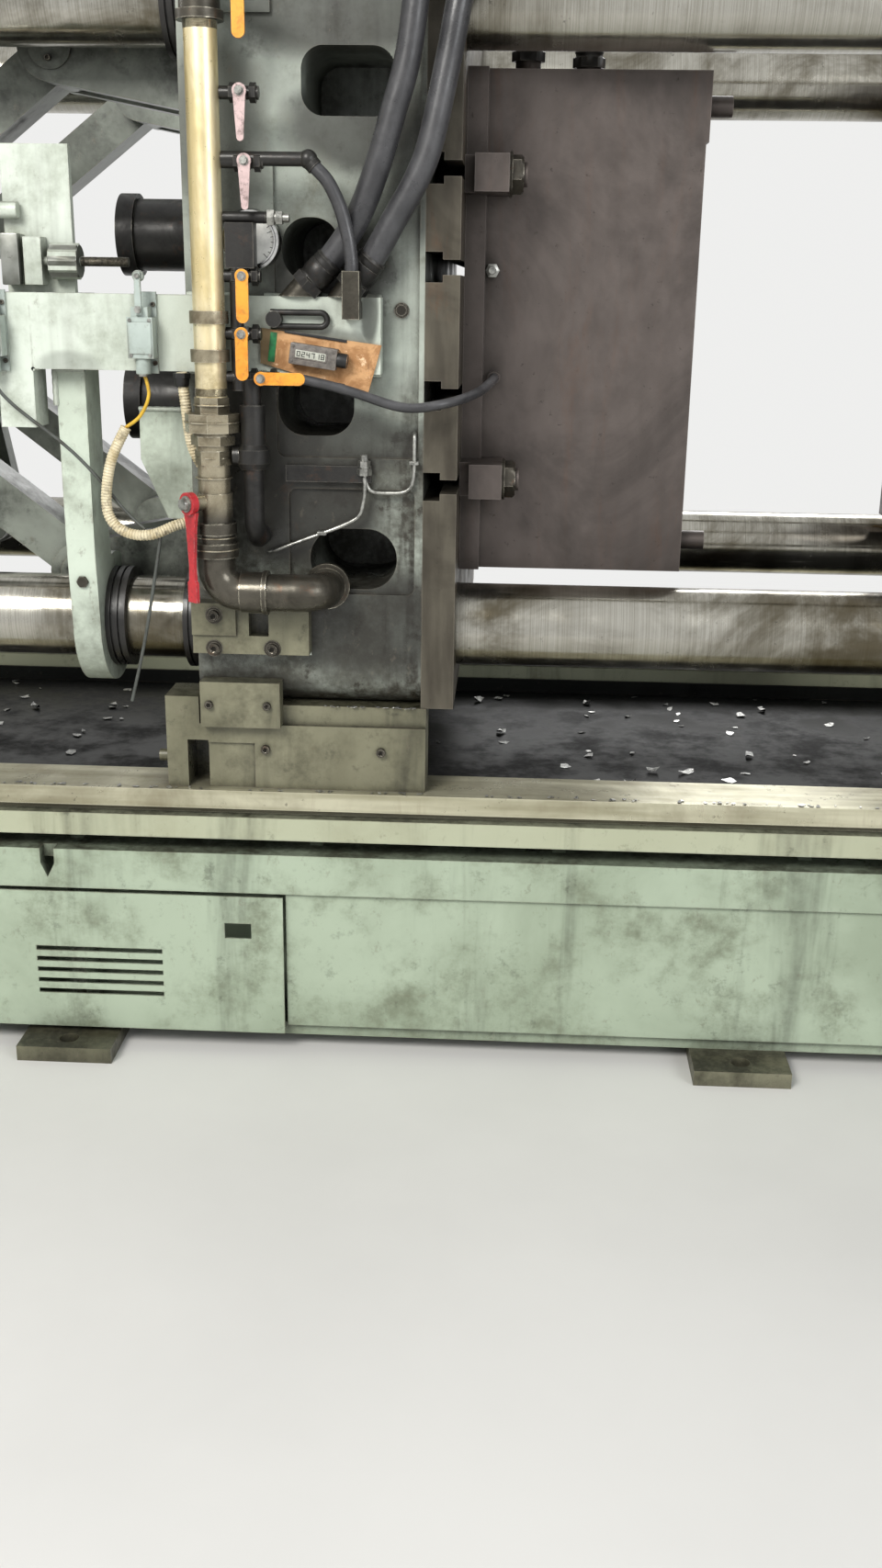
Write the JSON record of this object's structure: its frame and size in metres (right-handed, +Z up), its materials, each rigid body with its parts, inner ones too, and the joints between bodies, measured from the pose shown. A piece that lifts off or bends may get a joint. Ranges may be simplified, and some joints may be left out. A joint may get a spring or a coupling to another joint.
{
  "type": "die casting machine",
  "caption": "Cold-chamber die casting machine with a double toggle clamp on tie bars, moving and fixed platens with dies, and a shot end, on a welded bed.",
  "frame": {"origin": "On the floor, below the middle of the machine's length, on its centre plane", "axes": "+X along the machine from the clamp end to the injection end, -Y to the operator, +Z up"},
  "size_m": [6.6466, 1.5504, 2.1156],
  "materials": {
    "aged_paint": "aged pale green machine paint, oily and scratched",
    "bed_paint": "green machine paint darkened by oil",
    "dirty_paint": "paint under grease and release agent",
    "rail_steel": "oily ground slide rail",
    "bar_steel": "polished round bar with an oil film",
    "link_steel": "machined link with worn paint",
    "face_steel": "machined plate with rust streaks",
    "dark_steel": "heat-blackened die steel",
    "fitting_iron": "dark galvanised pipe fitting",
    "brass_pipe": "yellow passivated pipe",
    "red_grip": "red dipped grip",
    "orange_grip": "orange dipped grip",
    "pink_grip": "faded dipped grip",
    "hose_rubber": "dusty hydraulic hose",
    "wiper_rubber": "oily black wiper",
    "conduit_skin": "cream corrugated conduit",
    "card": "board with a counter on it",
    "switch_metal": "die-cast switch housing",
    "bottle_paint": "grey accumulator bottle"
  },
  "bodies": {
    "base": {"sole_plates": "dirty_paint", "bed_frame": "bed_paint", "bed_cross_beams": "bed_paint", "slide_rails": "rail_steel", "bed_panels": "bed_paint", "drip_tray": "dirty_paint", "tail_platen": "aged_paint", "tail_brackets": "link_steel", "fixed_platen": "aged_paint", "fixed_face_strips": "face_steel", "tie_bars": "bar_steel", "tie_bar_nuts": "fitting_iron", "closing_cylinder": "aged_paint", "guide_rods": "bar_steel", "fixed_die": "dark_steel", "die_clamps_fixed": "dark_steel", "shot_sleeve": "bar_steel", "shot_frame": "aged_paint", "shot_cylinder": "aged_paint", "plunger": "bar_steel", "injection_base": "aged_paint", "accumulators": "bottle_paint", "hydraulic_tank": "aged_paint", "pump_motor": "bottle_paint"},
    "door": {"bed_door": "bed_paint"},
    "crosshead": {"crosshead": "aged_paint", "piston_rod": "bar_steel"},
    "rear_link_upper": {"rear_link_upper": "link_steel"},
    "rear_link_lower": {"rear_link_lower": "link_steel"},
    "front_link_upper": {"front_link_upper": "link_steel"},
    "front_link_lower": {"front_link_lower": "link_steel"},
    "short_link_upper": {"short_link_upper": "link_steel"},
    "short_link_lower": {"short_link_lower": "link_steel"},
    "platen": {"moving_platen": "aged_paint", "platen_brackets": "link_steel", "moving_face_strips": "face_steel", "platen_shoes": "dirty_paint", "tie_bar_wipers": "wiper_rubber", "ejector_cylinders": "fitting_iron", "side_beams": "aged_paint", "guide_plates": "aged_paint", "limit_switch": "switch_metal", "brass_pipe": "brass_pipe", "pipe_fittings": "fitting_iron", "valve_manifold": "fitting_iron", "counter_board": "card", "switch_conduit": "conduit_skin", "die_hoses": "hose_rubber", "beam_end_box": "aged_paint", "moving_die": "dark_steel", "die_clamps_moving": "dark_steel"},
    "valve_lever": {"valve_lever": "red_grip"},
    "small_lever_1": {"small_lever_1": "orange_grip"},
    "small_lever_2": {"small_lever_2": "pink_grip"},
    "small_lever_3": {"small_lever_3": "pink_grip"},
    "small_lever_4": {"small_lever_4": "orange_grip"},
    "small_lever_5": {"small_lever_5": "orange_grip"},
    "small_lever_6": {"small_lever_6": "orange_grip"}
  },
  "joints": [
    {"name": "platen_slide", "type": "slide", "parent": "base", "child": "platen", "axis": [1, 0, 0], "range_m": [0, 0.55757]},
    {"name": "crosshead_slide", "type": "slide", "parent": "base", "child": "crosshead", "axis": [1, 0, 0], "range_m": [0, 0.5646]},
    {"name": "rear_link_upper_pivot", "type": "hinge", "parent": "base", "child": "rear_link_upper", "pos_m": [-1.69325, 0, 1.79], "axis": [0, -1, 0], "range_deg": [0, 100.05]},
    {"name": "front_link_upper_pivot", "type": "hinge", "parent": "rear_link_upper", "child": "front_link_upper", "pos_m": [-1.7575, 0, 1.42562], "axis": [0, 1, 0], "range_deg": [0, 137.44]},
    {"name": "short_link_upper_pivot", "type": "hinge", "parent": "crosshead", "child": "short_link_upper", "pos_m": [-2.17104, 0, 1.4], "axis": [0, -1, 0], "range_deg": [0, 48.74]},
    {"name": "rear_link_lower_pivot", "type": "hinge", "parent": "base", "child": "rear_link_lower", "pos_m": [-1.69325, 0, 0.87], "axis": [0, 1, 0], "range_deg": [0, 100.05]},
    {"name": "front_link_lower_pivot", "type": "hinge", "parent": "rear_link_lower", "child": "front_link_lower", "pos_m": [-1.7575, 0, 1.23438], "axis": [0, -1, 0], "range_deg": [0, 137.44]},
    {"name": "short_link_lower_pivot", "type": "hinge", "parent": "crosshead", "child": "short_link_lower", "pos_m": [-2.17104, 0, 1.26], "axis": [0, 1, 0], "range_deg": [0, 48.74]},
    {"name": "door_hinge", "type": "hinge", "parent": "base", "child": "door", "pos_m": [-1.49082, -0.7, 0.1635], "axis": [0, 0, -1], "range_deg": [0, 100]},
    {"name": "valve_lever_pivot", "type": "hinge", "parent": "platen", "child": "valve_lever", "pos_m": [-0.98786, -0.767, 1.054], "axis": [-0.6428, -0.766, 0], "range_deg": [0, 90]},
    {"name": "small_lever_1_pivot", "type": "hinge", "parent": "platen", "child": "small_lever_1", "pos_m": [-0.89382, -0.7503, 1.83], "axis": [0, -1, 0], "range_deg": [0, 90]},
    {"name": "small_lever_2_pivot", "type": "hinge", "parent": "platen", "child": "small_lever_2", "pos_m": [-0.89482, -0.7503, 1.685], "axis": [0, -1, 0], "range_deg": [0, 90]},
    {"name": "small_lever_3_pivot", "type": "hinge", "parent": "platen", "child": "small_lever_3", "pos_m": [-0.88982, -0.7503, 1.585], "axis": [0, -1, 0], "range_deg": [0, 90]},
    {"name": "small_lever_4_pivot", "type": "hinge", "parent": "platen", "child": "small_lever_4", "pos_m": [-0.89782, -0.7503, 1.414], "axis": [0, -1, 0], "range_deg": [0, 90]},
    {"name": "small_lever_5_pivot", "type": "hinge", "parent": "platen", "child": "small_lever_5", "pos_m": [-0.89882, -0.7613, 1.325], "axis": [0, -1, 0], "range_deg": [0, 90]},
    {"name": "small_lever_6_pivot", "type": "hinge", "parent": "platen", "child": "small_lever_6", "pos_m": [-0.87082, -0.7503, 1.256], "axis": [0, 1, 0], "range_deg": [0, 90]}
  ],
  "couplings": [
    {"joint": "crosshead_slide", "follows": "platen_slide", "ratio": 1.0117},
    {"joint": "rear_link_upper_pivot", "follows": "platen_slide", "rad_per_m": 3.1302},
    {"joint": "front_link_upper_pivot", "follows": "platen_slide", "rad_per_m": 4.3008},
    {"joint": "short_link_upper_pivot", "follows": "platen_slide", "rad_per_m": 1.5242},
    {"joint": "rear_link_lower_pivot", "follows": "platen_slide", "rad_per_m": 3.1302},
    {"joint": "front_link_lower_pivot", "follows": "platen_slide", "rad_per_m": 4.3008},
    {"joint": "short_link_lower_pivot", "follows": "platen_slide", "rad_per_m": 1.5242}
  ]
}
